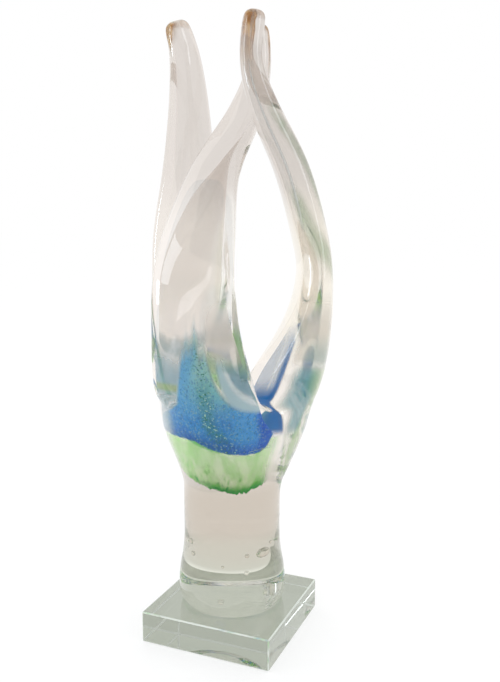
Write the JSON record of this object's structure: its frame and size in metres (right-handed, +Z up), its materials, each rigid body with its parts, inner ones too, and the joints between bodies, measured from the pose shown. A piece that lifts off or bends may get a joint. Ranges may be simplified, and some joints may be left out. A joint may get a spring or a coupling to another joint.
{
  "type": "glass award",
  "caption": "Hot-sculpted clear glass award: pulled arms rise and cross above a blue and green cup on a solid bubbled stem, bonded to a square glass plate.",
  "frame": {"origin": "centre of the glass plate's underside, on the surface that the award stands on", "axes": "+Z up along the stem, +X and +Y along the plate's edges, with the broad front arm leaning out over -Y"},
  "size_m": [0.1154, 0.107, 0.3635],
  "materials": {
    "clear_glass": "fire-polished, faint warm tint",
    "plate_glass": "polished faces, ground and polished edges, grey-green in the depth",
    "adhesive": "cured clear film",
    "green_glass": "thin translucent colour, streaked",
    "blue_glass": "dense translucent colour with ground colour specks",
    "flame_glass": "blue to teal, fading upwards",
    "olive_glass": "drawn-out streak, fading upwards",
    "grey_blue_glass": "drawn-out streak, fading upwards",
    "amber_glass": "fire-polished drop"
  },
  "bodies": {
    "root": {"base_plate": "plate_glass", "bond_film": "adhesive", "foot_core": "clear_glass", "cup_casing": "clear_glass", "green_veil": "green_glass", "clear_interlayer": "clear_glass", "blue_bowl": "blue_glass", "clear_core": "clear_glass", "arm_front": "clear_glass", "streak_front": "flame_glass", "tip_front": "amber_glass", "arm_right": "clear_glass", "streak_right": "olive_glass", "web_right": "flame_glass", "tip_right": "amber_glass", "arm_left": "clear_glass", "streak_left": "grey_blue_glass", "tip_left": "amber_glass"}
  },
  "joints": []
}
